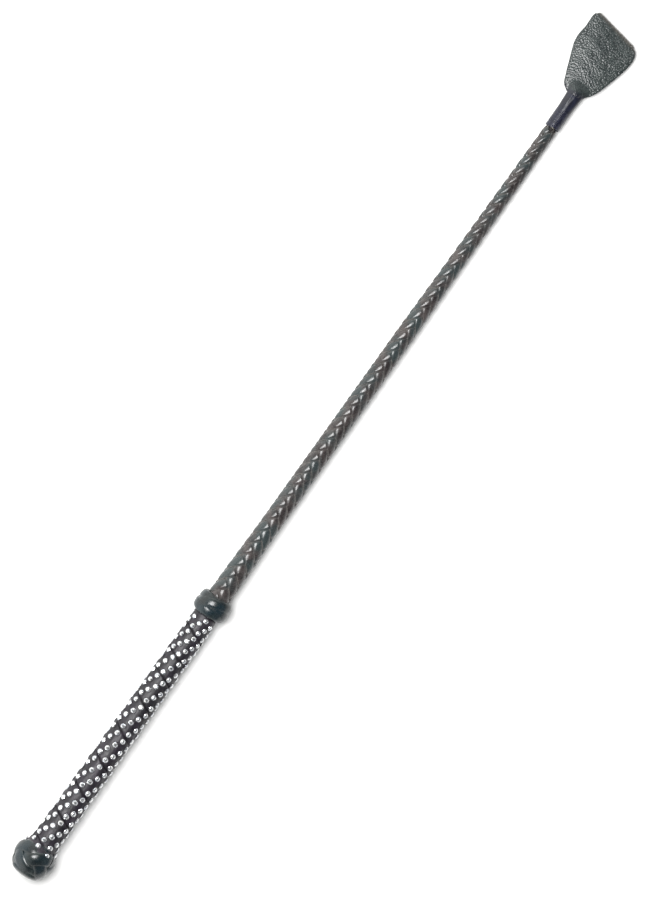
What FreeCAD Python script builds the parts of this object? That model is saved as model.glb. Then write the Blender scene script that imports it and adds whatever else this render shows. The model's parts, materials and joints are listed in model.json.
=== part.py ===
import FreeCAD, Part
import math
import os

# A riding crop that lies on a flat surface. Every piece is first built about a straight axis: x runs from
# the butt end (0) to the tip, and an angle of 0 about it points up, growing towards +Y. Then the whole crop
# is leaned so that it rests on its collar and its keeper, and centred on the origin. Millimetres throughout.

# Stations along the axis, from the butt end
GRIP_START = 22.8
GRIP_END = 198.6
COLLAR_CENTRE = 205.4
PLAIT_START = 203.8
PLAIT_END = 572.2
BINDING_START = 572.0
BINDING_END = 585.0
TONGUE_START = 576.4
BEND = 592.5
LEAF_START = 603.0
LENGTH = 650.0

# Core rod, a straight taper
ROD_START = 8.0
ROD_END = 587.0
ROD_BUTT_R = 4.0
ROD_TIP_R = 1.6
GLUE_GAP = 0.05

# Pommel ball with its cover
POMMEL_PROFILE = [(2.6, 5.2), (4.4, 8.0), (7.4, 10.0), (11.0, 11.2), (15.0, 11.4), (18.8, 10.2), (22.4, 8.0)]
POMMEL_MIDDLE = POMMEL_PROFILE[3]
POMMEL_LACE_WIDTH = 3.4
POMMEL_LACE_THICKNESS = 1.1
POMMEL_LACE_LIFT = 0.62
POMMEL_BIGHTS = 4
POMMEL_WAVE = 7.2

# Handle
GRIP_CORE_R = (7.50, 6.55)
STRIP_THICKNESS = 1.2
STRIP_FIT = 0.16
STRIP_GAP = 0.6
STRIP_SEAMS = [2.4, 23.2, 44.0, 64.4, 86.4, 108.8, 131.4, 152.3, 166.8, 185.3, 203.0, 221.0]
STONE_R = 1.7
STONE_TABLE_R = 0.8
STONE_HEIGHT = 1.1
STONE_SIDES = 8
STONES_PER_ROW = 4
STONE_ROW_TURN = 0.7427
STONE_ROW_START = 0.335
STONE_STEP_TURN = -0.343
STONE_INSET = 0.13
NARROW_TURN = 17.0
STONE_MARGIN = 1.9
TACK_R = 0.45
TACK_LENGTH = 3.4

# Collar
COLLAR_CORE_LENGTH = 13.0
COLLAR_CORE_BORE = 7.95
COLLAR_CORE_R = 8.55
COLLAR_CORE_BULGE = 0.35
COLLAR_LACE_WIDTH = 3.0
COLLAR_LACE_THICKNESS = 1.2
COLLAR_LACE_LIFT = 0.68
COLLAR_BIGHTS = 2
COLLAR_WAVE = 4.2
KNOT_LEADS = 3
KNOT_STEEPNESS = 3.0
KNOT_FIT = 0.08
KNOT_TAIL = 0.06

# Braided shaft: outer radius at a few stations, straight between them
SHAFT_R = [(200.0, 7.60), (230.0, 7.40), (262.0, 6.60), (330.0, 6.25), (415.0, 5.90), (455.0, 5.35), (572.2, 4.20)]
LACES_EACH_WAY = 4
LACE_THICKNESS = 0.85
LACE_LIFT = 0.52
LACE_WIDTH_SHARE = 0.88
LEAD_START = 36.4
LEAD_FALL = 0.0153
LEAD_STATION = 220.0
APEX_TURN = (8.0, -48.0)
FILLER_CLEARANCE = 0.20

# Threads
THREAD = 0.65
ROOT_WHIPPING = (199.6, 203.2, 6.6)
TIP_WHIPPING = (572.6, 576.2, 3.1)
BINDING_R = 4.6
BINDING_BORE = 3.5

# Keeper
NECK_R = 4.5
NECK_CUT = 0.9
NECK_FLARE = 598.0
NECK_TIP = 610.0
LEAF_THICKNESS = 1.5
LEAF_GAP = 0.7
FOLD_SLANT = 10.7
KEEPER_DROOP = 2.2

# How it lies
COLLAR_REST_R = 11.5
LEAN = 0.967
SIDE_SHIFT = -1.0

TURN = 2.0 * math.pi
DENSE = 12
ROWS_PER_FACE = 4


def interpolate(stations, x):
    """Value at x on straight lines between (x, value) stations."""
    if x <= stations[0][0]:
        return stations[0][1]
    for (x0, v0), (x1, v1) in zip(stations, stations[1:]):
        if x <= x1:
            return v0 + (v1 - v0) * (x - x0) / (x1 - x0)
    return stations[-1][1]


def on_axis(x, angle, radius):
    """Point at a station, an angle from the top towards +Y, and a radius."""
    return FreeCAD.Vector(x, radius * math.sin(angle), radius * math.cos(angle))


def revolve(profile):
    """Solid of revolution about the axis from a closed (x, radius) outline."""
    points = [FreeCAD.Vector(x, 0.0, r) for x, r in profile]
    points.append(points[0])
    face = Part.Face(Part.makePolygon(points))
    return face.revolve(FreeCAD.Vector(0, 0, 0), FreeCAD.Vector(1, 0, 0), 360)


def spline_faces(rows):
    """Faces over rows of poles: quadratic along the run, straight or quadratic across. The run is cut into short
    faces, which a mesher follows closely."""
    along = len(rows)
    across = len(rows[0])
    knots = list(range(along - 1))
    mults = [3] + [1] * (along - 3) + [3]
    faces = []
    for start in range(0, knots[-1], ROWS_PER_FACE):
        surface = Part.BSplineSurface()
        surface.buildFromPolesMultsKnots(
            rows, mults, [across, across], knots, [0, 1], False, False, 2, across - 1
        )
        surface.segment(start, min(start + ROWS_PER_FACE, knots[-1]), 0, 1)
        faces.append(surface.toShape())
    return faces


def lace_solid(sections):
    """Closed solid of a flat lace. Each section is (outer row, inner row), both from left to right."""
    outer = [section[0] for section in sections]
    inner = [section[1] for section in sections]
    left = [[section[0][0], section[1][0]] for section in sections]
    right = [[section[0][-1], section[1][-1]] for section in sections]
    faces = []
    for rows in (outer, inner, left, right):
        faces += spline_faces(rows)
    for section in (sections[0], sections[-1]):
        faces.append(end_face(section))
    shell = Part.makeShell(faces)
    shell.sewShape()
    solid = Part.makeSolid(shell)
    if solid.Volume < 0:
        solid.reverse()
    return solid


def end_face(section):
    """Face that closes a lace at one of its end sections."""
    outer, inner = section
    surface = Part.BSplineSurface()
    count = len(outer)
    surface.buildFromPolesMultsKnots(
        [list(outer), list(inner)], [2, 2], [count, count], [0, 1], [0, 1], False, False, 1, count - 1
    )
    return surface.toShape()


def curved_row(left, middle, right):
    """Three poles of a quadratic row that passes through its middle point."""
    return [left, middle * 2.0 - (left + right) * 0.5, right]


# ---------------------------------------------------------------- core pieces

def rod_radius(x):
    share = (x - ROD_START) / (ROD_END - ROD_START)
    return ROD_BUTT_R + (ROD_TIP_R - ROD_BUTT_R) * share


def sleeve(start, end, outer_start, outer_end):
    """Tapered sleeve glued on the rod."""
    bore_start = rod_radius(start) + GLUE_GAP
    bore_end = rod_radius(end) + GLUE_GAP
    return revolve([(start, bore_start), (end, bore_end), (end, outer_end), (start, outer_start)])


def core_rod():
    return revolve([(ROD_START, 0), (ROD_END, 0), (ROD_END, ROD_TIP_R), (ROD_START, ROD_BUTT_R)])


def shaft_radius(x):
    return interpolate(SHAFT_R, x)


def plait_radius(x):
    """Radius of the braid's middle, between its over and under layers."""
    return shaft_radius(x) - LACE_LIFT - LACE_THICKNESS / 2


def shaft_filler():
    """Tapered underlay between rod and braid."""
    drop = 2 * LACE_LIFT + LACE_THICKNESS + FILLER_CLEARANCE
    stations = [PLAIT_START] + [x for x, _ in SHAFT_R if PLAIT_START < x < PLAIT_END] + [PLAIT_END]
    outer = [(x, shaft_radius(x) - drop) for x in reversed(stations)]
    bore = [(x, rod_radius(x) + GLUE_GAP) for x in (PLAIT_START, PLAIT_END)]
    return revolve(bore + outer)


def whipping(start, end, outer):
    """Thread wound in close turns on the rod, as a ribbed sleeve."""
    return ribbed_sleeve(start, end, outer, lambda x: rod_radius(x) + GLUE_GAP)


def ribbed_sleeve(start, end, outer, bore):
    """Sleeve whose outside has one shallow ridge for each turn of thread."""
    turns = round((end - start) / THREAD)
    step = (end - start) / turns
    groove = 0.3 * THREAD
    profile = [(end, bore(end)), (start, bore(start))]
    for turn in range(turns):
        x = start + turn * step
        profile += [(x, outer - groove), (x + 0.3 * step, outer), (x + 0.7 * step, outer)]
    profile.append((end, outer - groove))
    return revolve(profile)


# ---------------------------------------------------------------- braided shaft

def lead_at(x):
    """Length of one full turn of a lace at a station."""
    return LEAD_START - LEAD_FALL * (x - LEAD_STATION)


def plait_turn(x):
    """Angle that a lace has turned by a station, in radians from the lead's own station."""
    return -TURN / LEAD_FALL * math.log(lead_at(x) / LEAD_START)


def station_of_turn(turned):
    """Station at which a lace has turned that far."""
    return LEAD_STATION + LEAD_START / LEAD_FALL * (1.0 - math.exp(-LEAD_FALL * turned / TURN))


def apex_angle(x):
    """Angle of the line of chevron points, which drifts slowly round the shaft."""
    share = (x - PLAIT_START) / (PLAIT_END - PLAIT_START)
    return math.radians(APEX_TURN[0] + APEX_TURN[1] * share * share)


def plait_point(a, b, height):
    """Point of the braid where the rising lace coordinate is a and the falling one is b."""
    half_step = TURN / (2 * LACES_EACH_WAY)
    x = station_of_turn((b - a) * half_step)
    column_of_apex = 1.5
    angle = (a + b - column_of_apex) * half_step + apex_angle(x)
    return on_axis(x, angle, plait_radius(x) + height)


def rising_is_over(i, j):
    return (i + j) % 4 in (0, 1)


def plait_lace(index, rising):
    """One lace of the eight. It passes over two and under two of the laces that cross it."""
    half_step = TURN / (2 * LACES_EACH_WAY)
    end_margin = 2.2
    first = plait_turn(PLAIT_START + end_margin) / half_step
    last = plait_turn(PLAIT_END - end_margin) / half_step
    half_width = LACE_WIDTH_SHARE / 2
    inside = [-half_width, -half_width / 3, half_width / 3, half_width]
    sections = []
    for crossing in range(math.floor(first) - 1, math.ceil(last) + 2):
        places = [crossing + offset for offset in inside if first <= crossing + offset <= last]
        if len(places) > 1:
            sections += [plait_section(index, travelled, crossing, rising) for travelled in places]
    return lace_solid(sections)


def plait_section(index, travelled, crossing, rising):
    """Section of a lace where it has travelled so many crossings past its own coordinate."""
    if rising:
        other = index + crossing
        over = rising_is_over(index, other)
    else:
        other = index - crossing
        over = not rising_is_over(other, index)
    lift = LACE_LIFT if over else -LACE_LIFT
    rows = []
    for side in (LACE_THICKNESS / 2, -LACE_THICKNESS / 2):
        points = []
        for across in (-LACE_WIDTH_SHARE / 2, 0.0, LACE_WIDTH_SHARE / 2):
            if rising:
                points.append(plait_point(index + across, index + travelled, lift + side))
            else:
                points.append(plait_point(index - travelled, index + across, lift + side))
        rows.append(curved_row(*points))
    return rows


# ---------------------------------------------------------------- woven ring knots

def knot_lace(surface, wave, bights, width, thickness, lift):
    """Flat lace of a three-lead ring knot. surface(m, angle, height) gives a point from the distance m
    across the ring, the angle round it and the height over its foundation."""
    leads = KNOT_LEADS
    steps = DENSE * max(2 * bights, 3 * leads)
    sections = []
    for step in range(steps + 1):
        angle = KNOT_TAIL + (leads * TURN - 2 * KNOT_TAIL) * step / steps
        phase = angle * bights / leads
        m = wave * math.cos(phase)
        slope = -wave * bights / leads * math.sin(phase)
        radius = (surface(m, angle, 0.0) - surface(m, angle + math.pi, 0.0)).Length / 2
        length = math.hypot(slope, radius)
        half = width / 2
        height = lift * (1.0 + max(-1.0, min(1.0, KNOT_STEEPNESS * math.sin(2 * phase))))
        rows = []
        for top in (thickness, 0.0):
            points = []
            for across in (-half, 0.0, half):
                dm = across * radius / length
                dangle = -across * slope / length / radius
                points.append(surface(m + dm, angle + dangle, height + top + KNOT_FIT))
            rows.append(curved_row(*points))
        sections.append(rows)
    return lace_solid(sections)


def pommel_outline():
    """Pommel profile as a smooth curve."""
    curve = Part.BSplineCurve()
    curve.interpolate([FreeCAD.Vector(x, 0, r) for x, r in POMMEL_PROFILE])
    return curve


def pommel_core():
    """Ball on the rod's end, with a flat butt face and a socket for the rod."""
    curve = pommel_outline()
    start_x, start_r = POMMEL_PROFILE[0]
    end_x, end_r = POMMEL_PROFILE[-1]
    socket = rod_radius(ROD_START) + GLUE_GAP
    mouth = rod_radius(end_x) + GLUE_GAP
    corners = [
        FreeCAD.Vector(end_x, 0, end_r),
        FreeCAD.Vector(end_x, 0, mouth),
        FreeCAD.Vector(ROD_START - GLUE_GAP, 0, socket),
        FreeCAD.Vector(ROD_START - GLUE_GAP, 0, 0),
        FreeCAD.Vector(start_x, 0, 0),
        FreeCAD.Vector(start_x, 0, start_r),
    ]
    edges = [curve.toShape()] + [Part.makeLine(p, q) for p, q in zip(corners, corners[1:])]
    face = Part.Face(Part.Wire(Part.__sortEdges__(edges)))
    return face.revolve(FreeCAD.Vector(0, 0, 0), FreeCAD.Vector(1, 0, 0), 360)


def pommel_surface():
    """Map from distance along the pommel's profile, measured from the lace's middle, to points over it."""
    curve = pommel_outline()
    total = curve.length()
    middle = curve.length(0.0, curve.parameter(FreeCAD.Vector(POMMEL_MIDDLE[0], 0, POMMEL_MIDDLE[1])))

    def point(m, angle, height):
        along = min(max(middle + m, 0.0), total)
        parameter = curve.parameterAtDistance(along)
        base = curve.value(parameter)
        tangent = curve.tangent(parameter)[0]
        x = base.x - height * tangent.z
        radius = base.z + height * tangent.x
        return on_axis(x, angle, radius)

    return point


def pommel_lace():
    return knot_lace(
        pommel_surface(), POMMEL_WAVE, POMMEL_BIGHTS, POMMEL_LACE_WIDTH, POMMEL_LACE_THICKNESS, POMMEL_LACE_LIFT
    )


def pommel_cap():
    """Domed leather disc on the butt face, with its rim tucked close to the cover."""
    base = POMMEL_PROFILE[0][0]
    crown = 0.0
    rim = POMMEL_PROFILE[0][1] - 0.2
    arc = Part.Arc(
        FreeCAD.Vector(crown, 0, 0), FreeCAD.Vector(crown + 0.45, 0, rim * 0.6), FreeCAD.Vector(base - 1.0, 0, rim)
    ).toShape()
    corners = [
        FreeCAD.Vector(base - 1.0, 0, rim),
        FreeCAD.Vector(base - GLUE_GAP, 0, rim),
        FreeCAD.Vector(base - GLUE_GAP, 0, 0),
        FreeCAD.Vector(crown, 0, 0),
    ]
    edges = [arc] + [Part.makeLine(p, q) for p, q in zip(corners, corners[1:])]
    face = Part.Face(Part.Wire(edges))
    return face.revolve(FreeCAD.Vector(0, 0, 0), FreeCAD.Vector(1, 0, 0), 360)


def collar_radius(m):
    """Outside of the collar's foundation, a little fuller in the middle."""
    share = m / (COLLAR_CORE_LENGTH / 2)
    return COLLAR_CORE_R + COLLAR_CORE_BULGE * (1.0 - min(share * share, 1.0))


def collar_core():
    half = COLLAR_CORE_LENGTH / 2
    start = COLLAR_CENTRE - half
    end = COLLAR_CENTRE + half
    arc = Part.Arc(
        FreeCAD.Vector(start, 0, collar_radius(-half)),
        FreeCAD.Vector(COLLAR_CENTRE, 0, collar_radius(0)),
        FreeCAD.Vector(end, 0, collar_radius(half)),
    ).toShape()
    corners = [
        FreeCAD.Vector(end, 0, collar_radius(half)),
        FreeCAD.Vector(end, 0, COLLAR_CORE_BORE),
        FreeCAD.Vector(start, 0, COLLAR_CORE_BORE),
        FreeCAD.Vector(start, 0, collar_radius(-half)),
    ]
    edges = [arc] + [Part.makeLine(p, q) for p, q in zip(corners, corners[1:])]
    face = Part.Face(Part.Wire(edges))
    return face.revolve(FreeCAD.Vector(0, 0, 0), FreeCAD.Vector(1, 0, 0), 360)


def collar_lace():
    def point(m, angle, height):
        return on_axis(COLLAR_CENTRE + m, angle, collar_radius(m) + height)

    return knot_lace(
        point, COLLAR_WAVE, COLLAR_BIGHTS, COLLAR_LACE_WIDTH, COLLAR_LACE_THICKNESS, COLLAR_LACE_LIFT
    )


# ---------------------------------------------------------------- handle

def grip_core_radius(x):
    share = (x - GRIP_START) / (GRIP_END - GRIP_START)
    return GRIP_CORE_R[0] + (GRIP_CORE_R[1] - GRIP_CORE_R[0]) * share


def seam(angle):
    """Station of the seam before the strip's edge at an angle along its helix. The seams were set by a hand
    winding the strip, so each turn has its own width."""
    return interpolate([(turn - 1, x) for turn, x in enumerate(STRIP_SEAMS)], angle / TURN)


def grip_core():
    end = GRIP_END + 0.6
    return sleeve(GRIP_START, end, grip_core_radius(GRIP_START), grip_core_radius(end))


def grip_strip():
    """Leather strip wound edge to edge along the handle, trimmed square at both ends."""
    trim = 0.4
    first = angle_of_seam(GRIP_START + trim) - TURN
    last = angle_of_seam(GRIP_END - trim)
    count = math.ceil((last - first) / TURN * 2 * DENSE)
    sections = []
    for step in range(count + 1):
        angle = first + (last - first) * step / count
        low = max(seam(angle) + STRIP_GAP / 2, GRIP_START)
        high = min(seam(angle + TURN) - STRIP_GAP / 2, GRIP_END)
        outer = [on_axis(x, angle, strip_radius(x)) for x in (low, high)]
        inner = [on_axis(x, angle, strip_radius(x) - STRIP_THICKNESS) for x in (low, high)]
        sections.append([outer, inner])
    return lace_solid(sections)


def angle_of_seam(x):
    """Angle along the helix at which the seam reaches a station."""
    return TURN * interpolate([(station, turn - 1) for turn, station in enumerate(STRIP_SEAMS)], x)


def strip_radius(x):
    """Radius of the strip's outer face. The curve of its helix sinks a little inside its poles."""
    sink = 1.0 / math.cos(TURN / (4 * DENSE))
    return (grip_core_radius(x) + STRIP_FIT + STRIP_THICKNESS) * sink


def stone(x, angle):
    """Flat-back stone with a ring of facets and a table, seated on the strip."""
    seat = grip_core_radius(x) + STRIP_FIT + STRIP_THICKNESS + GLUE_GAP
    centre = on_axis(x, angle, seat)
    outward = on_axis(0, angle, 1.0)
    along = FreeCAD.Vector(1, 0, 0)
    across = outward.cross(along)
    rings = []
    for radius, height in ((STONE_R, 0.0), (STONE_TABLE_R, STONE_HEIGHT)):
        ring = []
        for side in range(STONE_SIDES):
            turn = TURN * side / STONE_SIDES
            ring.append(
                centre + along * (radius * math.cos(turn)) + across * (radius * math.sin(turn)) + outward * height
            )
        rings.append(ring)
    return frustum(*rings)


def frustum(low, high):
    """Faceted solid between two polygons with the same number of corners."""
    faces = [Part.Face(Part.makePolygon(ring + [ring[0]])) for ring in (low, high)]
    for index in range(len(low)):
        after = (index + 1) % len(low)
        corners = [low[index], low[after], high[after], high[index]]
        faces.append(Part.Face(Part.makePolygon(corners + [corners[0]])))
    shell = Part.makeShell(faces)
    shell.sewShape()
    solid = Part.makeSolid(shell)
    if solid.Volume < 0:
        solid.reverse()
    return solid


def crystals():
    """Rows of stones along the whole strip: four to a row, or three where the next turn covers one."""
    stones = []
    rows = math.ceil((angle_of_seam(GRIP_END) + 2 * TURN) / STONE_ROW_TURN)
    for row in range(rows):
        row_angle = STONE_ROW_START - 2 * TURN + row * STONE_ROW_TURN
        count = STONES_PER_ROW if turn_width(row_angle) > NARROW_TURN else STONES_PER_ROW - 1
        for place in range(count):
            angle = row_angle + (place - (count - 1) / 2) * STONE_STEP_TURN
            share = STONE_INSET + (1 - 2 * STONE_INSET) * place / (count - 1)
            x = seam(angle) + share * turn_width(angle)
            if GRIP_START + STONE_MARGIN < x < GRIP_END - STONE_MARGIN:
                stones.append(stone(x, angle))
    return Part.makeCompound(stones)


def turn_width(angle):
    """Width of the strip that shows at an angle along its helix, seam to seam."""
    return seam(angle + TURN) - seam(angle)


def grip_tacks():
    """Brads that pin the strip's two ends to the handle's core."""
    tacks = []
    for x in (GRIP_START + 1.0, GRIP_END - 0.9):
        surface = grip_core_radius(x) - GLUE_GAP
        start = on_axis(x, math.pi, surface - TACK_LENGTH + 0.6)
        tacks.append(Part.makeCylinder(TACK_R, TACK_LENGTH - 0.7, start, on_axis(0, math.pi, 1.0)))
    return Part.makeCompound(tacks)


# ---------------------------------------------------------------- keeper

def wedge_clear(sign):
    """Block that takes the corners off a neck piece, so that it can bend by the keeper's full range."""
    reach = NECK_R + 1.0
    tip = BEND + sign * NECK_CUT / 2
    back = tip + sign * reach * 0.8
    far = BEND - sign * 3 * reach
    points = [
        FreeCAD.Vector(tip, -2 * reach, 0),
        FreeCAD.Vector(back, -2 * reach, reach),
        FreeCAD.Vector(far, -2 * reach, reach),
        FreeCAD.Vector(far, -2 * reach, -reach),
        FreeCAD.Vector(back, -2 * reach, -reach),
    ]
    face = Part.Face(Part.makePolygon(points + [points[0]]))
    return face.extrude(FreeCAD.Vector(0, 4 * reach, 0))


def keeper_tongue():
    """Bound end of the keeper's leather, round the rod's tip and out of the binding."""
    under = BINDING_BORE - GLUE_GAP
    bore_end = ROD_END + 0.3
    profile = [
        (TONGUE_START, rod_radius(TONGUE_START) + GLUE_GAP),
        (bore_end, rod_radius(bore_end) + GLUE_GAP),
        (bore_end, 0),
        (BEND + 1, 0),
        (BEND + 1, NECK_R),
        (BINDING_END + 0.1, NECK_R),
        (BINDING_END + 0.1, under),
        (TONGUE_START, under),
    ]
    return revolve(profile).cut(wedge_clear(-1))


def keeper_binding():
    return ribbed_sleeve(BINDING_START, BINDING_END, BINDING_R, lambda x: BINDING_BORE)


def keeper_outline():
    """Outline of the leaves seen from above, as points joined by one smooth curve and the fold's line."""
    upper = [(598.5, 3.6), (604.5, 10.0), (612.5, 14.6), (619.0, 16.4), (626.5, 19.3), (634.0, 19.9), (644.0, 19.5)]
    lower = [(643.5, -14.8), (640.0, -17.3), (632.0, -17.2), (621.0, -13.9), (612.0, -10.6), (604.0, -7.6), (598.5, -3.6)]
    top = Part.BSplineCurve()
    top.interpolate([FreeCAD.Vector(x, y, 0) for x, y in upper])
    bottom = Part.BSplineCurve()
    bottom.interpolate([FreeCAD.Vector(x, y, 0) for x, y in lower])
    far_top = FreeCAD.Vector(650.5, 17.6, 0)
    far_bottom = FreeCAD.Vector(644.6, -12.6, 0)
    edges = [
        top.toShape(),
        Part.makeLine(FreeCAD.Vector(*upper[-1], 0), far_top),
        Part.makeLine(far_top, far_bottom),
        Part.makeLine(far_bottom, FreeCAD.Vector(*lower[0], 0)),
        bottom.toShape(),
        Part.makeLine(FreeCAD.Vector(*lower[-1], 0), FreeCAD.Vector(*upper[0], 0)),
    ]
    return Part.Face(Part.Wire(edges))


def folded_leaves():
    """Two leaves joined by a rounded fold, before the outline is cut. The fold is slanted in plan."""
    outer = LEAF_THICKNESS + LEAF_GAP / 2
    inner = LEAF_GAP / 2
    fold = LENGTH - outer
    start = 596.0
    width = 60.0
    points = {
        "start_top": FreeCAD.Vector(start, -width / 2, outer),
        "fold_top": FreeCAD.Vector(fold, -width / 2, outer),
        "fold_tip": FreeCAD.Vector(fold + outer, -width / 2, 0),
        "fold_low": FreeCAD.Vector(fold, -width / 2, -outer),
        "start_low": FreeCAD.Vector(start, -width / 2, -outer),
        "web_low": FreeCAD.Vector(start + 8, -width / 2, -inner),
        "in_low": FreeCAD.Vector(fold, -width / 2, -inner),
        "in_tip": FreeCAD.Vector(fold + inner, -width / 2, 0),
        "in_top": FreeCAD.Vector(fold, -width / 2, inner),
        "web_top": FreeCAD.Vector(start + 8, -width / 2, inner),
    }
    outside = [
        Part.makeLine(points["start_top"], points["fold_top"]),
        Part.Arc(points["fold_top"], points["fold_tip"], points["fold_low"]).toShape(),
        Part.makeLine(points["fold_low"], points["start_low"]),
        Part.makeLine(points["start_low"], points["start_top"]),
    ]
    inside = [
        Part.makeLine(points["web_top"], points["in_top"]),
        Part.Arc(points["in_top"], points["in_tip"], points["in_low"]).toShape(),
        Part.makeLine(points["in_low"], points["web_low"]),
        Part.makeLine(points["web_low"], points["web_top"]),
    ]
    across = FreeCAD.Vector(0, width, 0)
    whole = Part.Face(Part.Wire(outside)).extrude(across)
    hollow = Part.Face(Part.Wire(inside)).extrude(across)
    leaves = whole.cut(hollow)
    leaves.rotate(FreeCAD.Vector(LENGTH, 17.0, 0), FreeCAD.Vector(0, 0, 1), -FOLD_SLANT)
    return leaves


def keeper():
    """Folded leather flap with the moving half of its neck."""
    prism = keeper_outline().extrude(FreeCAD.Vector(0, 0, 20))
    prism.translate(FreeCAD.Vector(0, 0, -10))
    leaves = folded_leaves().common(prism)
    droop = math.degrees(math.asin(KEEPER_DROOP / (LENGTH - LEAF_START)))
    leaves.rotate(FreeCAD.Vector(LEAF_START, 0, 0), FreeCAD.Vector(0, 1, 0), droop)
    neck = keeper_neck().cut(wedge_clear(1))
    return leaves.fuse(neck).removeSplitter()


def keeper_neck():
    """Round neck whose end narrows to a point between the leaves."""
    return revolve([(BEND - 1.0, 0), (BEND - 1.0, NECK_R), (NECK_FLARE, NECK_R), (NECK_TIP, 0)])


# ---------------------------------------------------------------- placing and writing

def place(shape):
    """Lean the straight crop about its collar, set it on the floor and centre it on the origin."""
    placed = shape.copy()
    placed.rotate(FreeCAD.Vector(COLLAR_CENTRE, 0, 0), FreeCAD.Vector(0, 1, 0), LEAN)
    placed.translate(FreeCAD.Vector(-LENGTH / 2, SIDE_SHIFT, COLLAR_REST_R))
    return placed


def write(name, shape):
    if not shape.isValid():
        print("not valid:", name)
    placed = place(shape)
    placed.exportStep("parts/" + name + ".step")
    box = placed.BoundBox
    print(f"{name:22s} solids {len(placed.Solids):3d} volume {placed.Volume:9.1f} z {box.ZMin:6.2f} {box.ZMax:6.2f}"
          f" x {box.XMin:7.1f} {box.XMax:7.1f} y {box.YMin:6.1f} {box.YMax:6.1f}")


def main():
    os.makedirs("parts", exist_ok=True)
    write("core_rod", core_rod())
    write("shaft_filler", shaft_filler())
    write("plait_root_whipping", whipping(*ROOT_WHIPPING))
    write("plait_tip_whipping", whipping(*TIP_WHIPPING))
    write("grip_core", grip_core().cut(grip_tacks()))
    write("grip_tacks", grip_tacks())
    write("grip_strip", grip_strip())
    write("crystals", crystals())
    write("pommel_core", pommel_core())
    write("pommel_lace", pommel_lace())
    write("pommel_cap", pommel_cap())
    write("collar_core", collar_core())
    write("collar_lace", collar_lace())
    write("keeper_binding", keeper_binding())
    write("keeper_tongue", keeper_tongue())
    write("keeper", keeper())
    for index in range(LACES_EACH_WAY):
        write(f"plait_lace_{2 * index + 1}", plait_lace(index, True))
        write(f"plait_lace_{2 * index + 2}", plait_lace(index, False))


main()
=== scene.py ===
import json
import math
import random

import bmesh
import bpy
import numpy as np
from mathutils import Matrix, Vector


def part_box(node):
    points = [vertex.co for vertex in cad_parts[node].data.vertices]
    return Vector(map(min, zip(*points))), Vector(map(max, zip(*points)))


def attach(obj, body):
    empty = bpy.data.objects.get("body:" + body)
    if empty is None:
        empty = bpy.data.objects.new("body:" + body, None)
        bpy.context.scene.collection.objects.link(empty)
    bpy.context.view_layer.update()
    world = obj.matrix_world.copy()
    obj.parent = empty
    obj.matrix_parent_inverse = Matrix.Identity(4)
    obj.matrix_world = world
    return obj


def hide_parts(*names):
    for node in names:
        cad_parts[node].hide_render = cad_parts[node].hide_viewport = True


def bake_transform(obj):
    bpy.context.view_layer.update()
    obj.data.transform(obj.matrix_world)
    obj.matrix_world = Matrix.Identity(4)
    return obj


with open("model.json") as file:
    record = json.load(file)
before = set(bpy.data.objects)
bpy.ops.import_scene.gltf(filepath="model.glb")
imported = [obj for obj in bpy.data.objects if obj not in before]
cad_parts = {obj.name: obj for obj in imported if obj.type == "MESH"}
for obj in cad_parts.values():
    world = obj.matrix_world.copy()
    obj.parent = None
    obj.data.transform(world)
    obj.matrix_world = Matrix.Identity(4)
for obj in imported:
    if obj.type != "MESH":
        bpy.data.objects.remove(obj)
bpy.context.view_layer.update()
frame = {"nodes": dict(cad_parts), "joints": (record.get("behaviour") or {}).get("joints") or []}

# The crop's visible pieces are meshes about its own axis: s is the distance along it from the butt end in
# millimetres, the angle is 0 on top and grows towards +Y. The axis comes from two places of the frame.
MM = 0.001
TURN = 2.0 * math.pi
COLLAR_S = 205.4
BEND_S = 592.5

collar_low, collar_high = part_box("collar_core")
COLLAR_PLACE = np.array((collar_low + collar_high) / 2) / MM
BEND_PLACE = np.array(frame["joints"][0]["pos_m"]) / MM
AXIS = (BEND_PLACE - COLLAR_PLACE) / np.linalg.norm(BEND_PLACE - COLLAR_PLACE)
SIDE = np.array([0.0, 1.0, 0.0])
UP = np.cross(AXIS, SIDE)
UP = UP if UP[2] > 0 else -UP

GRIP_START, GRIP_END = 22.8, 198.6
PLAIT_START, PLAIT_END = 203.8, 572.2
BINDING_START, BINDING_END = 572.0, 585.0
NECK_END = 603.0
LENGTH = 650.0

# Camera: straight down on the crop, which lies corner to corner in the picture
VIEW_CENTRE = (2.6, -4.45)
VIEW_HEIGHT = 562.7
CAMERA_DISTANCE = 3600.0
CROP_TILT = 35.33

random.seed(7)


def on_axis(s, angle, radius):
    """Points in millimetres, in the row frame, from arrays of station, angle and radius."""
    s, angle, radius = np.broadcast_arrays(np.asarray(s, float), angle, radius)
    return (
        COLLAR_PLACE
        + (s - COLLAR_S)[..., None] * AXIS
        + (radius * np.sin(angle))[..., None] * SIDE
        + (radius * np.cos(angle))[..., None] * UP
    )


def axis_frame(s, across, height):
    """Points from a station, a distance across the crop towards +Y and a height over the axis."""
    s, across, height = np.broadcast_arrays(np.asarray(s, float), across, height)
    return COLLAR_PLACE + (s - COLLAR_S)[..., None] * AXIS + across[..., None] * SIDE + height[..., None] * UP


def interpolate(stations, x):
    """Value at x on straight lines between (x, value) stations."""
    xs, values = zip(*stations)
    return np.interp(x, xs, values)


def smoothstep(low, high, x):
    """0 below low, 1 above high, and a smooth rise between."""
    t = np.clip((x - low) / (high - low), 0.0, 1.0)
    return t * t * (3.0 - 2.0 * t)


# ---------------------------------------------------------------- meshes

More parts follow.
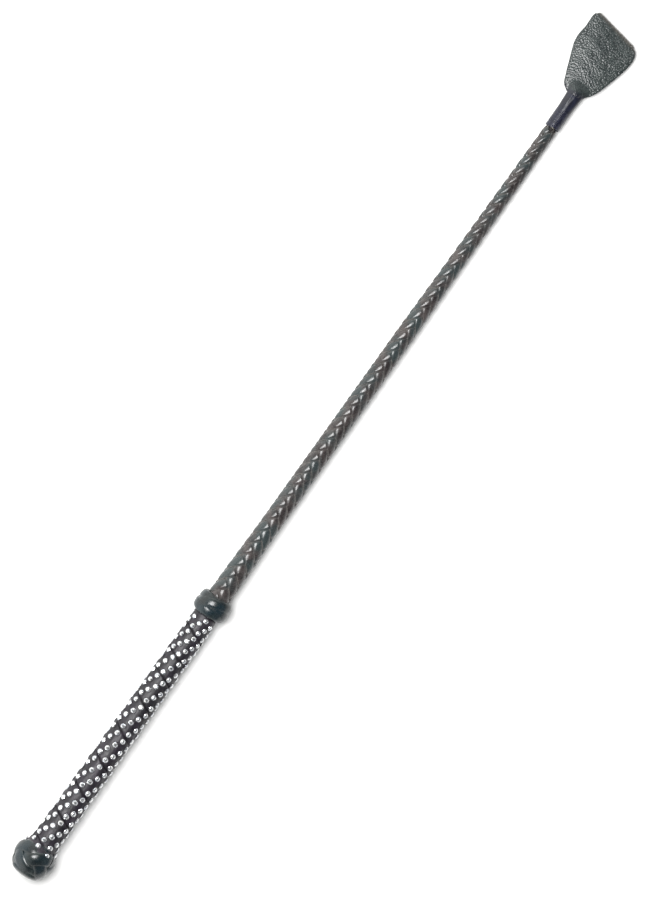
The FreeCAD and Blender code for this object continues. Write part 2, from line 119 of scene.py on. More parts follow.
def grid_faces(rows, columns, close_rows, close_columns, offset=0):
    """Quads over a grid of points, joined up into a ring along either way if asked."""
    faces = []
    for r in range(rows if close_rows else rows - 1):
        for c in range(columns if close_columns else columns - 1):
            r2, c2 = (r + 1) % rows, (c + 1) % columns
            faces.append((offset + r * columns + c, offset + r2 * columns + c,
                          offset + r2 * columns + c2, offset + r * columns + c2))
    return faces


def new_object(name, points, faces, smooth=True):
    """Mesh object in the scene, from points in millimetres."""
    mesh = bpy.data.meshes.new(name)
    mesh.from_pydata((np.asarray(points) * MM).tolist(), [], faces)
    mesh.update()
    piece = bpy.data.objects.new(name, mesh)
    bpy.context.scene.collection.objects.link(piece)
    if smooth:
        mesh.polygons.foreach_set("use_smooth", [True] * len(mesh.polygons))
    return piece


def put_uv(piece, along, across):
    """UV map from one pair of values per vertex: metres along the piece, and 0 to 1 across it."""
    layer = piece.data.uv_layers.new(name="run")
    loops = np.zeros(len(piece.data.loops), np.int32)
    piece.data.loops.foreach_get("vertex_index", loops)
    uv = np.stack([np.ravel(along)[loops] * MM, np.ravel(across)[loops]], -1)
    layer.data.foreach_set("uv", uv.ravel())


def tube(name, rings, along, across, caps=True):
    """Mesh from rings of points. rings has the shape (along, around, 3)."""
    count, around = rings.shape[:2]
    faces = grid_faces(count, around, False, True)
    if caps:
        faces.append(tuple(range(around)))
        faces.append(tuple(reversed(range((count - 1) * around, count * around))))
    piece = new_object(name, rings.reshape(-1, 3), faces)
    put_uv(piece, np.broadcast_to(along, (count, around)), np.broadcast_to(across, (count, around)))
    fix_normals(piece)
    return piece


def fix_normals(piece):
    """Turn every face of a closed mesh outward."""
    mesh = bmesh.new()
    mesh.from_mesh(piece.data)
    bmesh.ops.recalc_face_normals(mesh, faces=mesh.faces)
    mesh.to_mesh(piece.data)
    mesh.free()


def lace_section(points_on_top, flatness):
    """Closed outline of a worn flat lace: u runs -1 to 1 across it, z from -1 under to 1 on the crown."""
    top_u = np.sin(np.linspace(-math.pi / 2, math.pi / 2, points_on_top))
    top_z = -0.25 + 1.25 * (1.0 - np.abs(top_u) ** flatness)
    low_u = np.linspace(0.96, -0.96, 5)
    low_z = np.full(5, -1.0)
    low_z[0] = low_z[-1] = -0.7
    return np.concatenate([top_u, low_u]), np.concatenate([top_z, low_z])


# ---------------------------------------------------------------- braided shaft

# Outer radius of the braid, and the lead of its laces: how far a lace goes along the shaft in one turn
SHAFT_R = [(200.0, 7.65), (230.0, 7.45), (262.0, 6.70), (330.0, 6.35), (415.0, 6.00), (455.0, 5.45),
           (572.2, 4.25)]
LEAD_START, LEAD_FALL, LEAD_STATION = 36.4, 0.0153, 220.0
APEX_TURN = (8.0, -48.0)
LACES = 8
HALF_STEP = TURN / LACES
PLAIT_MARGIN = 0.35 * LEAD_START / LACES
PLAIT_STEP = 0.1
LACE_THICKNESS = 1.25
LACE_LIFT = 0.46
LACE_WIDTH_SHARE = 0.96


def plait_turn(s):
    """Angle that a lace has turned by a station."""
    return -TURN / LEAD_FALL * math.log((LEAD_START - LEAD_FALL * (s - LEAD_STATION)) / LEAD_START)


def station_of_turn(turned):
    """Station at which a lace has turned by an angle."""
    return LEAD_STATION + LEAD_START / LEAD_FALL * (1.0 - np.exp(-LEAD_FALL * turned / TURN))


def apex_angle(s):
    """Angle of the line along which the laces cross on top, which drifts round the shaft."""
    share = (s - PLAIT_START) / (PLAIT_END - PLAIT_START)
    return np.radians(APEX_TURN[0] + APEX_TURN[1] * share * share)


def plait_point(a, b, height):
    """Points and stations of the braid where the rising lace coordinate is a and the falling one is b."""
    s = station_of_turn((b - a) * HALF_STEP)
    angle = (a + b - 1.5) * HALF_STEP + apex_angle(s)
    middle = interpolate(SHAFT_R, s) - LACE_LIFT - LACE_THICKNESS / 2
    return on_axis(s, angle, middle + height), s


def lift_along(index, travelled, rising):
    """Height of a lace along its run: over two of the crossing laces, then under two."""
    def state(crossing):
        total = 2 * index + crossing if rising else 2 * index - crossing
        over = total % 4 in (0, 1)
        return 1.0 if over == rising else -1.0

    low = np.floor(travelled - 0.5).astype(int)
    states = {k: state(k) for k in range(int(low.min()) - 1, int(low.max()) + 3)}
    before = np.array([states[k] for k in low])
    after = np.array([states[k + 1] for k in low])
    share = smoothstep(0.22, 0.78, travelled - low)
    return before + (after - before) * share


def plait_lace(number, index, rising):
    """One lace of the braid. Its width and height waver a little, as hand-cut lace does."""
    first = plait_turn(PLAIT_START + PLAIT_MARGIN) / HALF_STEP
    last = plait_turn(PLAIT_END - PLAIT_MARGIN) / HALF_STEP
    travelled = np.arange(first, last, PLAIT_STEP)
    u, z = lace_section(11, 3.2)
    lift = lift_along(index, travelled, rising)
    wobble = 1.0 + 0.05 * np.sin(travelled * 1.7 + number * 2.1) * np.sin(travelled * 0.61 + number)
    half = LACE_WIDTH_SHARE / 2 * wobble
    t = travelled[:, None]
    pressed = np.where(lift > 0, 1.0, 0.9)[:, None]
    height = LACE_LIFT * lift[:, None] + LACE_THICKNESS / 2 * z[None, :] * pressed
    across = half[:, None] * u[None, :]
    if rising:
        points, s = plait_point(index + across, index + t, height)
    else:
        points, s = plait_point(index - t, index + across, height)
    return tube(f"plait_lace_{number}", points, s, (u[None, :] + 1) / 2)


# ---------------------------------------------------------------- handle

# Stations at which the strip's seam passes the top, turn by turn
STRIP_SEAMS = [2.4, 23.2, 44.0, 64.4, 86.4, 108.8, 131.4, 152.3, 166.8, 185.3, 203.0, 221.0]
STRIP_R = (8.80, 7.85)
STRIP_THICKNESS = 1.2
STRIP_GAP = 0.12
STRIP_START = 16.6
# Outer radius where the strip laps over the pommel's shoulder
SHOULDER = [(16.6, 12.6), (18.6, 12.3), (20.4, 11.3), (21.8, 10.1), (23.0, 9.2), (24.4, 8.7), (26.0, 0.0)]
# Rows of stones: angles of a row's start and of the steps between rows and stones, and the strip's bare rim
STONES_PER_ROW = 4
STONE_ROW_TURN = 0.7427
STONE_ROW_START = 0.335
STONE_STEP_TURN = -0.343
STONE_INSET = 0.13
NARROW_TURN = 17.0
STONE_MARGIN = 1.9
BIGHT_END = 22.0
BIGHT_GAP_SHARE = 0.38
STONE_SIDES = 10
STONE_R = [(20.0, 1.90), (110.0, 1.78), (198.0, 1.66)]


def seam(angle):
    """Station of the seam before the strip's edge at an angle along its helix."""
    return interpolate([(turn - 1, s) for turn, s in enumerate(STRIP_SEAMS)], np.asarray(angle) / TURN)


def angle_of_seam(s):
    """Angle along the helix at which the seam reaches a station."""
    return TURN * interpolate([(station, turn - 1) for turn, station in enumerate(STRIP_SEAMS)], s)


def turn_width(angle):
    return seam(angle + TURN) - seam(angle)


def strip_radius(s):
    """Radius of the strip's outer face, larger where it laps over the pommel's shoulder."""
    straight = STRIP_R[0] + (STRIP_R[1] - STRIP_R[0]) * (s - GRIP_START) / (GRIP_END - GRIP_START)
    return np.maximum(straight, interpolate(SHOULDER, s))


def grip_strip():
    """Strip wound as a helix, puffed between its seams and creased round its stones."""
    trim = 0.4
    first = angle_of_seam(STRIP_START + trim) - TURN
    last = angle_of_seam(GRIP_END - trim)
    angle = np.arange(first, last, TURN / 96)
    low = np.maximum(seam(angle) + STRIP_GAP, STRIP_START)
    high = np.minimum(seam(angle + TURN) - STRIP_GAP, GRIP_END)
    near_edge = np.array([0.0, 0.012, 0.035, 0.07])
    share = np.concatenate([near_edge, np.linspace(0.11, 0.89, 44), [0.93, 0.965, 0.988, 1.0]])
    s = low[:, None] + (high - low)[:, None] * share[None, :]
    a = np.broadcast_to(angle[:, None], s.shape)
    edge = np.minimum(share, 1 - share)[None, :] * (high - low)[:, None]
    roll = -0.62 * np.exp(-((edge / 0.55) ** 2))
    crease = 0.07 * np.sin(a * 23 + s * 1.9) * np.sin(s * 2.3 - a * 7) + 0.05 * np.sin(a * 41 - s * 3.1)
    top = on_axis(s, a, strip_radius(s) - 0.02 + roll + crease - 0.05)
    inner_s = s[:, ::-1]
    bottom = on_axis(inner_s, a, strip_radius(inner_s) - STRIP_THICKNESS + 0.05)
    rings = np.concatenate([top, bottom], 1)
    across = np.concatenate([share, share[::-1]])
    return tube("grip_strip", rings, np.concatenate([s, inner_s], 1), across[None, :])


def stone_places():
    """(station, angle) of every stone: four to a row across the strip, or three where it is narrow."""
    places = []
    rows = math.ceil((angle_of_seam(GRIP_END) + 2 * TURN) / STONE_ROW_TURN)
    for row in range(rows):
        row_angle = STONE_ROW_START - 2 * TURN + row * STONE_ROW_TURN
        count = STONES_PER_ROW if turn_width(row_angle) > NARROW_TURN else STONES_PER_ROW - 1
        for place in range(count):
            angle = row_angle + (place - (count - 1) / 2) * STONE_STEP_TURN
            share = STONE_INSET + (1 - 2 * STONE_INSET) * place / (count - 1)
            s = float(seam(angle) + share * turn_width(angle))
            on_shoulder = STRIP_START + STONE_MARGIN < s < GRIP_START and between_bights(angle)
            if on_shoulder or BIGHT_END < s < GRIP_END - STONE_MARGIN:
                places.append((s, angle))
    return places


def between_bights(angle):
    """True where the pommel's lace leaves the strip's end bare."""
    step = TURN / POMMEL_BIGHTS
    return abs((angle - POMMEL_TURN) % step - step / 2) < BIGHT_GAP_SHARE * step


def stone_axes(s, angle):
    """Seat point, outward, along and across directions of a stone, turned and tipped a little."""
    seat = on_axis(s, angle, strip_radius(s))
    out = on_axis(s, angle, 1.0) - on_axis(s, angle, 0.0)
    tip_s, tip_a = random.gauss(0, 0.05), random.gauss(0, 0.05)
    side = np.cross(out, AXIS)
    out = out + tip_s * AXIS + tip_a * side
    out /= np.linalg.norm(out)
    turn = random.uniform(0, TURN)
    along = AXIS - out * AXIS.dot(out)
    along /= np.linalg.norm(along)
    side = np.cross(out, along)
    spun_along = along * math.cos(turn) + side * math.sin(turn)
    spun_side = side * math.cos(turn) - along * math.sin(turn)
    return seat, out, spun_along, spun_side


def stones(places):
    """Round flat-back stones: girdle, two rings of facets and a table. One object of separate stones."""
    sides = STONE_SIDES
    rings = ((1.0, -0.10, 0.0), (1.0, 0.10, 0.0), (0.74, 0.62, 0.5), (0.40, 0.92, 0.0))
    points, faces = [], []
    for s, angle in places:
        seat, out, along, side = stone_axes(s, angle)
        size = interpolate(STONE_R, s) * random.uniform(0.97, 1.03)
        base = len(points)
        for radius, height, shift in rings:
            for k in range(sides):
                turn = TURN * (k + shift) / sides
                spoke = along * math.cos(turn) + side * math.sin(turn)
                points.append(seat + spoke * (radius * size) + out * height)
        faces.append(tuple(base + k for k in reversed(range(sides))))
        for ring in range(len(rings) - 1):
            low, high = base + ring * sides, base + (ring + 1) * sides
            for k in range(sides):
                after = (k + 1) % sides
                if rings[ring + 1][2] == rings[ring][2]:
                    faces.append((low + k, low + after, high + after, high + k))
                elif rings[ring + 1][2] > 0:
                    faces.append((low + k, low + after, high + k))
                    faces.append((low + after, high + after, high + k))
                else:
                    faces.append((low + k, low + after, high + after))
                    faces.append((low + k, high + after, high + k))
        faces.append(tuple(base + (len(rings) - 1) * sides + k for k in range(sides)))
    piece = new_object("crystals", np.array(points), faces, smooth=False)
    fix_normals(piece)
    return piece


def stone_rims(places):
    """Ring of leather drawn up round each stone, where it's pressed into the strip."""
    around, section = 20, 7
    sunk, thick = 0.10, 0.20
    points, faces = [], []
    for s, angle in places:
        seat, out, along, side = stone_axes(s, angle)
        base = len(points)
        for k in range(around):
            turn = TURN * k / around
            spoke = along * math.cos(turn) + side * math.sin(turn)
            swell = 1.0 + 0.12 * math.sin(3 * turn + s)
            for j in range(section):
                t = TURN * j / section
                reach = interpolate(STONE_R, s) + thick + 0.22 * math.cos(t)
                points.append(seat + spoke * reach + out * (-sunk + thick * swell * math.sin(t)))
        faces += grid_faces(around, section, True, True, base)
    piece = new_object("stone_rims", np.array(points), faces)
    fix_normals(piece)
    return piece


# ---------------------------------------------------------------- woven knots

def knot_lace(name, surface, wave, bights, lace, phase_start):
    """Flat lace of a three-lead ring knot, laid over a surface of revolution."""
    width, thickness, lift = lace
    leads, tail = 3, 0.03
    angle = np.linspace(tail, leads * TURN - tail, 96 * leads + 1)
    phase = angle * bights / leads
    m = wave * np.cos(phase)
    slope = -wave * bights / leads * np.sin(phase)
    radius = surface(m)[1]
    length = np.hypot(slope, radius)
    over = np.clip(2.0 * np.sin(2 * phase), -1, 1)
    u, z = lace_section(17, 4.0)
    across = width / 2 * u[None, :]
    dm = across * (radius / length)[:, None]
    da = -across * (slope / length / radius)[:, None]
    base_s, base_r, normal_s, normal_r = surface(m[:, None] + dm)
    height = lift * (1.0 + over)[:, None] + thickness / 2 * (1 + z[None, :])
    turned_to = angle[:, None] + da + phase_start
    points = on_axis(base_s + height * normal_s, turned_to, base_r + height * normal_r)
    return tube(name, points, (angle * 10.0)[:, None], (u[None, :] + 1) / 2)


# Profiles that the laces lie on, and the knots' shape. A lace is its width, thickness and lift at a crossing
COLLAR_PROFILE = [(198.2, 6.6), (198.5, 7.9), (199.4, 8.7), (201.2, 9.3), (203.4, 9.6), (205.4, 9.65),
                  (207.4, 9.6), (209.4, 9.3), (211.2, 8.7), (212.1, 7.9), (212.4, 6.6)]
COLLAR_MIDDLE = 5
COLLAR_TURN = math.radians(-90.0)
COLLAR_WAVE = 4.2
COLLAR_BIGHTS = 2
COLLAR_LACE = (6.0, 1.3, 0.28)
POMMEL_PROFILE = [(1.6, 3.0), (2.4, 5.4), (4.3, 8.15), (7.3, 10.2), (11.0, 11.4), (15.0, 11.75),
                  (18.6, 11.05), (21.2, 9.8), (22.9, 8.7)]
POMMEL_MIDDLE = 4
POMMEL_TURN = math.radians(-55.0)
POMMEL_WAVE = 6.6
POMMEL_BIGHTS = 4
POMMEL_LACE = (7.7, 1.2, 0.36)
LINING_LIFT = 0.3


def turned_surface(profile, middle):
    """Map from the distance along a turned profile, from one of its points, to station, radius and normal."""
    s, r = np.array(profile).T
    run = np.concatenate([[0], np.cumsum(np.hypot(np.diff(s), np.diff(r)))])
    fine = np.linspace(0, run[-1], 300)
    fine_s = smooth_curve(run, s, fine)
    fine_r = smooth_curve(run, r, fine)
    ds, dr = np.gradient(fine_s, fine), np.gradient(fine_r, fine)
    norm = np.hypot(ds, dr)

    def place(m):
        at = np.clip(m + run[middle], 0.0, run[-1])
        return tuple(np.interp(at, fine, values) for values in (fine_s, fine_r, -dr / norm, ds / norm))

    return place


def smooth_curve(x, y, at):
    """Values on a smooth curve through the points, with slopes from their neighbours."""
    slope = np.gradient(y, x)
    k = np.clip(np.searchsorted(x, at, side="right") - 1, 0, len(x) - 2)
    h = x[k + 1] - x[k]
    t = (at - x[k]) / h
    h00 = 2 * t ** 3 - 3 * t ** 2 + 1
    h10 = t ** 3 - 2 * t ** 2 + t
    h01 = -2 * t ** 3 + 3 * t ** 2
    h11 = t ** 3 - t ** 2
    return h00 * y[k] + h10 * h * slope[k] + h01 * y[k + 1] + h11 * h * slope[k + 1]


def turned(name, profile, segments=96, wobble=0.0):
    """Surface of revolution from an open (s, radius) profile whose ends are on or near the axis."""
    profile = np.array(profile)
    angle = np.linspace(0, TURN, segments, endpoint=False)
    s = profile[:, 0][:, None] + 0 * angle[None, :]
    r = profile[:, 1][:, None] * (1 + wobble * np.sin(3 * angle + 1.0) + wobble * np.sin(7 * angle))[None, :]
    rings = on_axis(s, angle[None, :], r)
    along = np.concatenate([[0], np.cumsum(np.hypot(*np.diff(profile, axis=0).T))])[:, None]
    return tube(name, rings, along, (angle / TURN)[None, :])


def pommel_cap():
    """Leather disc on the butt end, domed, with a thick rolled rim."""
    profile = [(0.25, 0.05), (0.28, 2.0), (0.45, 4.0), (0.8, 6.0), (1.35, 7.6), (2.0, 8.7), (2.7, 9.3),
               (3.3, 9.5), (3.8, 9.35), (4.1, 8.9), (4.2, 8.2)]
    return turned("pommel_cap", refine(profile), wobble=0.006)


def refine(profile, per=4):
    """The same profile on a smooth curve, with more points."""
    profile = np.array(profile, float)
    run = np.concatenate([[0], np.cumsum(np.hypot(*np.diff(profile, axis=0).T))])
    at = np.linspace(0, run[-1], per * (len(profile) - 1) + 1)
    return np.stack([smooth_curve(run, profile[:, 0], at), smooth_curve(run, profile[:, 1], at)], -1)


def pommel_lining():
    """Leather that covers the ball beneath the woven lace."""
    return turned("pommel_lining", refine([(s, r + LINING_LIFT) for s, r in POMMEL_PROFILE]), wobble=0.004)


# ---------------------------------------------------------------- keeper

THREAD = 0.62
THREAD_FLAT = 0.35
BINDING_R = 4.62


def thread_coil(name, start, end, radius):
    """Waxed thread wound in close turns."""
    turns = int((end - start) / (THREAD * 0.96))
    angle = np.linspace(0, turns * TURN, turns * 40)
    s = np.linspace(start + THREAD / 2, end - THREAD / 2, len(angle))
    ring = np.linspace(0, TURN, 8, endpoint=False)
    uneven = 0.04 * np.sin(angle * 0.37) + 0.03 * np.sin(angle * 1.13)
    r = radius + uneven[:, None] + THREAD_FLAT * THREAD / 2 * np.cos(ring)[None, :]
    points = on_axis(s[:, None] + THREAD / 2 * np.sin(ring)[None, :], angle[:, None], r)
    return tube(name, points, (angle * radius)[:, None], (ring / TURN)[None, :])


# Where the neck bends. Then its half width and half height along it
NECK_BEND = (585.5, 600.0)
NECK_STATIONS = [(584.0, 4.6, 4.4), (588.0, 4.7, 4.4), (592.5, 4.9, 4.4), (597.0, 5.2, 4.2),
                 (601.0, 5.7, 3.4), (605.0, 6.1, 2.2), (609.0, 6.2, 1.1)]


def keeper_neck():
    """Creased leather neck, round at the binding and flattening between the leaves."""
    s = np.linspace(NECK_STATIONS[0][0], NECK_STATIONS[-1][0], 60)
    angle = np.linspace(0, TURN, 56, endpoint=False)
    stations = np.array(NECK_STATIONS)
    wide = smooth_curve(stations[:, 0], stations[:, 1], s)[:, None]
    high = smooth_curve(stations[:, 0], stations[:, 2], s)[:, None]
    crease = 0.16 * np.sin(angle * 5 + 0.6) * smoothstep(585, 592, s)[:, None]
    groove = np.exp(-(((angle - 0.12 + 0.02 * (s[:, None] - 590)) / 0.10) ** 2))
    crease = crease - 0.35 * groove * smoothstep(586, 594, s)[:, None]
    droop = keeper_drop(s)[:, None]
    across = (wide + crease) * np.sin(angle)
    height = (high + crease * high / wide) * np.cos(angle)
    points = axis_frame(s[:, None] + 0 * angle, across, height - droop)
    return tube("keeper_neck", points, s[:, None], (angle / TURN)[None, :])


# Where the painted shade of the leaf's gathered root ends and where the worn fold begins, along X in metres
KEEPER_X = [(s - COLLAR_S + COLLAR_PLACE[0]) * MM for s in (600.5, 604.5, 643.0, 646.5)]
KEEPER_DROOP = 2.2


def keeper_drop(s):
    """How far the leaves hang below the axis."""
    return KEEPER_DROOP * np.clip((np.asarray(s, float) - NECK_END) / (LENGTH - NECK_END), 0.0, 1.2)


# Edges of the front leaf from above, root to fold: station and distance across
TOP_EDGE = [(596.5, 4.6), (599.4, 8.2), (602.0, 10.6), (606.4, 12.9), (613.0, 15.3), (619.0, 17.2),
            (625.8, 19.0), (631.5, 19.7), (636.5, 19.4), (641.0, 19.6), (645.0, 19.6), (647.0, 19.0),
            (647.6, 17.6)]
LOW_EDGE = [(596.5, -4.5), (599.8, -6.4), (602.0, -8.3), (606.2, -10.6), (613.1, -12.9), (620.0, -14.8),
            (626.9, -16.5), (631.2, -17.2), (634.6, -17.4), (637.8, -17.0), (640.2, -16.0), (641.6, -14.6),
            (642.0, -13.0)]
LEAF_THICK = 1.45
LEAF_ROOT_THICK = 0.25
LEAF_GAP = 0.28
LEAF_PUFF = 1.5
NECK_OUTER_R = 4.55


def edge_curve(stations, count):
    """Even steps along a smooth curve through the stations."""
    points = np.array(stations, float)
    run = np.concatenate([[0], np.cumsum(np.hypot(*np.diff(points, axis=0).T))])
    at = np.linspace(0, run[-1], count)
    return smooth_curve(run, points[:, 0], at), smooth_curve(run, points[:, 1], at)


def leaf_plan():
    """Grid of plan positions over the front leaf: rows run root to fold, columns low edge to top edge."""
    rows, columns = 90, 64
    top_s, top_y = edge_curve(TOP_EDGE, rows)
    low_s, low_y = edge_curve(LOW_EDGE, rows)
    share = np.linspace(0, 1, columns)[None, :]
    s = low_s[:, None] * (1 - share) + top_s[:, None] * share
    y = low_y[:, None] * (1 - share) + top_y[:, None] * share
    return s, y, share


def over_neck(s, y):
    """Height that a leaf keeps over the neck, spreading and fading as the neck flattens."""
    t = smoothstep(596.0, 611.0, s)
    bell = NECK_OUTER_R * np.exp(-((np.abs(y) / (NECK_OUTER_R * (0.95 + 1.6 * t))) ** (2.6 - 0.6 * t)))
    return bell * (1 - t) ** 1.3


def keeper_leaves():
    """One piece of leather folded over at its far end. The sheet runs from the front leaf's root, round the
    fold, and back under to the rear leaf's root."""
    s, y, share = leaf_plan()
    half = LEAF_GAP / 2 + LEAF_THICK / 2
    thick = LEAF_ROOT_THICK + (LEAF_THICK - LEAF_ROOT_THICK) * smoothstep(596.0, 606.0, s.mean(1))
    run = np.linspace(0, 1, s.shape[0])[:, None]
    dome = np.sin(np.pi * share) * np.sin(np.pi * run) ** 0.7
    dimple = 0.10 * np.sin(s * 0.55 + y * 0.3) * np.sin(y * 0.5 - s * 0.2) * dome
    front_z = half + LEAF_PUFF * dome + dimple + np.maximum(over_neck(s, y) - half, 0)
    front = axis_frame(s, y, front_z - keeper_drop(s))
    peek = 0.9 * np.exp(-((s - 625.0) / 9.0) ** 2) + 1.5 * np.exp(-((s - 599.0) / 3.0) ** 2)
    rear_y = y + peek * share ** 3
    rear_z = -half - 0.25 * dome - np.maximum(0.8 * over_neck(s, rear_y) - half, 0)
    rear = axis_frame(s, rear_y, rear_z - keeper_drop(s))
    fold = fold_rows(s[-1], y[-1], share[0], half)
    thick = np.concatenate([thick, np.full(len(fold), LEAF_THICK), thick[::-1]])
    return thick_sheet("keeper", np.concatenate([front, fold, rear[::-1]], 0), thick)


def fold_rows(s, y, share, radius):
    """Half round of the sheet's middle where it folds over, drawn in at its two ends."""
    reach = radius * 1.1 * np.sqrt(np.clip(np.minimum(share, 1 - share) / 0.04, 0.0, 1.0))
    rows = []
    for turn in np.linspace(0, math.pi, 11)[1:-1]:
        rows.append(axis_frame(s + reach * math.sin(turn), y, radius * math.cos(turn) - keeper_drop(s)))
    return np.array(rows)


def thick_sheet(name, sheet, thick):
    """Closed mesh of a sheet from its middle surface and each row's thickness, with rounded edges."""
    rows, columns = sheet.shape[:2]
    du = np.gradient(sheet, axis=0)
    dv = np.gradient(sheet, axis=1)
    normal = np.cross(du, dv)
    normal /= np.linalg.norm(normal, axis=-1, keepdims=True) + 1e-9
    edge = np.minimum(np.arange(columns), columns - 1 - np.arange(columns))
    round_off = np.sqrt(1 - (1 - np.clip(edge / 2.0, 0, 1)) ** 2 * 0.75)[None, :, None]
    half = thick[:, None, None] / 2 * round_off
    above = sheet + normal * half
    below = sheet - normal * half
    points = np.concatenate([above.reshape(-1, 3), below.reshape(-1, 3)])
    count = rows * columns
    faces = grid_faces(rows, columns, False, False)
    faces += [tuple(reversed([count + v for v in face])) for face in faces]
    for r in range(rows - 1):
        for c in (0, columns - 1):
            here, after = r * columns + c, (r + 1) * columns + c
            faces.append((here, after, count + after, count + here))
    for c in range(columns - 1):
        for r in (0, rows - 1):
            here, after = r * columns + c, r * columns + c + 1
            faces.append((here, after, count + after, count + here))
    piece = new_object(name, points, faces)
    steps = np.linalg.norm(np.diff(sheet[:, columns // 2], axis=0), axis=-1)
    lengths = np.concatenate([[0], np.cumsum(steps)])
    along = np.tile(np.repeat(lengths, columns), 2)
    across = np.tile(np.tile(np.linspace(0, 1, columns), rows), 2)
    put_uv(piece, along, across)
    fix_normals(piece)
    return piece


# ---------------------------------------------------------------- materials

def new_material(name):
    material = bpy.data.materials.new(name)
    material.use_nodes = True
    tree = material.node_tree
    shader = tree.nodes["Principled BSDF"]
    return material, tree, shader


def add(tree, kind, **settings):
    """New node with some of its settings."""
    node = tree.nodes.new(kind)
    for key, value in settings.items():
        setattr(node, key, value)
    return node


def set_inputs(node, **values):
    for key, value in values.items():
        node.inputs[key.replace("_", " ")].default_value = value


def ramp(tree, source, stops):
    """Colour from a value, by (place, colour) stops."""
    node = add(tree, "ShaderNodeValToRGB")
    elements = node.color_ramp.elements
    while len(elements) < len(stops):
        elements.new(0.5)
    for element, (place, colour) in zip(elements, stops):
        element.position = place
        element.color = (*colour, 1.0)
    tree.links.new(source, node.inputs["Fac"])
    return node.outputs["Color"]


def noise(tree, scale, detail=3.0, roughness=0.5):
    """Noise in the object's own space."""
    place = add(tree, "ShaderNodeTexCoord")
    node = add(tree, "ShaderNodeTexNoise")
    set_inputs(node, Scale=scale, Detail=detail, Roughness=roughness)
    tree.links.new(place.outputs["Object"], node.inputs["Vector"])
    return node.outputs["Fac"]


def cells(tree, scale):
    """Distance to the nearest of scattered points, in the object's own space."""
    place = add(tree, "ShaderNodeTexCoord")
    node = add(tree, "ShaderNodeTexVoronoi")
    set_inputs(node, Scale=scale)
    tree.links.new(place.outputs["Object"], node.inputs["Vector"])
    return node.outputs["Distance"]


def mix_colour(tree, factor, a, b, blend="MIX"):
    node = add(tree, "ShaderNodeMix", data_type="RGBA", blend_type=blend)
    for socket, value in (("Factor", factor), ("A", a), ("B", b)):
        target = [i for i in node.inputs if i.name == socket and i.enabled][0]
        if hasattr(value, "links"):
            tree.links.new(value, target)
        elif isinstance(value, tuple):
            target.default_value = (*value, 1.0)
        else:
            target.default_value = value
    return [o for o in node.outputs if o.enabled][0]


def maths(tree, operation, *values):
    node = add(tree, "ShaderNodeMath", operation=operation)
    for socket, value in zip(node.inputs, values):
        if hasattr(value, "links"):
            tree.links.new(value, socket)
        else:
            socket.default_value = value
    return node.outputs[0]


def bump(tree, shader, height, strength, distance, after=None):
    """Bump of a height given in metres, on top of an earlier one if there is one."""
    node = add(tree, "ShaderNodeBump")
    set_inputs(node, Strength=strength, Distance=distance)
    tree.links.new(height, node.inputs["Height"])
    if after is not None:
        tree.links.new(after, node.inputs["Normal"])
    tree.links.new(node.outputs["Normal"], shader.inputs["Normal"])
    return node.outputs["Normal"]


def edge_share(tree):
    """0 in the middle of a lace and 1 at its edges, from the UV map."""
    uv = add(tree, "ShaderNodeUVMap", uv_map="run")
    split = add(tree, "ShaderNodeSeparateXYZ")
    tree.links.new(uv.outputs["UV"], split.inputs[0])
    centred = maths(tree, "SUBTRACT", split.outputs["Y"], 0.5)
    return maths(tree, "MULTIPLY", maths(tree, "ABSOLUTE", centred), 2.0)


def leather(name, dark, light, tint, edge, roughness, grain, depth, crease):
    """Dyed leather: two tones drifting towards a tint, a fine grain, and paler edges on laces."""
    material, tree, shader = new_material(name)
    blotch = ramp(tree, noise(tree, 160.0, 4.0, 0.6), [(0.38, dark), (0.66, light)])
    drift = smooth_from(tree, noise(tree, 85.0, 2.0, 0.5), 0.38, 0.66)
    colour = mix_colour(tree, drift, blotch, tint)
    if edge is not None:
        # Paler colour along the edges of the laces, patchy along them
        at_edge = smooth_from(tree, edge_share(tree), 0.84, 0.97)
        lighter_mask = maths(tree, "MULTIPLY", at_edge, noise(tree, 420.0, 2.0, 0.6))
        colour = mix_colour(tree, maths(tree, "MULTIPLY", lighter_mask, 1.4), colour, edge)
    tree.links.new(colour, shader.inputs["Base Color"])
    glossy, dull = (roughness - 0.07,) * 3, (roughness + 0.1,) * 3
    rough = ramp(tree, noise(tree, 700.0, 3.0, 0.6), [(0.3, glossy), (0.7, dull)])
    tree.links.new(rough, shader.inputs["Roughness"])
    normal = bump(tree, shader, cells(tree, grain), 0.35, depth)
    normal = bump(tree, shader, noise(tree, grain * 0.28, 4.0, 0.6), 0.4, depth * 1.6, normal)
    bump(tree, shader, noise(tree, 380.0, 5.0, 0.65), 0.9, crease, normal)
    return material


def smooth_from(tree, value, low, high):
    """0 below low, 1 above high, and a smooth rise between, as a node."""
    node = add(tree, "ShaderNodeMapRange", interpolation_type="SMOOTHSTEP")
    tree.links.new(value, node.inputs["Value"])
    node.inputs["From Min"].default_value = low
    node.inputs["From Max"].default_value = high
    return node.outputs["Result"]


def crystal_material():
    """Foil-backed cut glass: bright, mirror-like facets with a faint colour drift."""
    material, tree, shader = new_material("crystal")
    tone = ramp(tree, noise(tree, 900.0, 2.0, 0.6), [(0.35, (0.44, 0.47, 0.52)), (0.65, (0.78, 0.78, 0.76))])
    tree.links.new(tone, shader.inputs["Base Color"])
    shader.inputs["Metallic"].default_value = 0.85
    shader.inputs["Roughness"].default_value = 0.10
    shader.inputs["Coat Weight"].default_value = 0.6
    shader.inputs["Coat Roughness"].default_value = 0.03
    return material


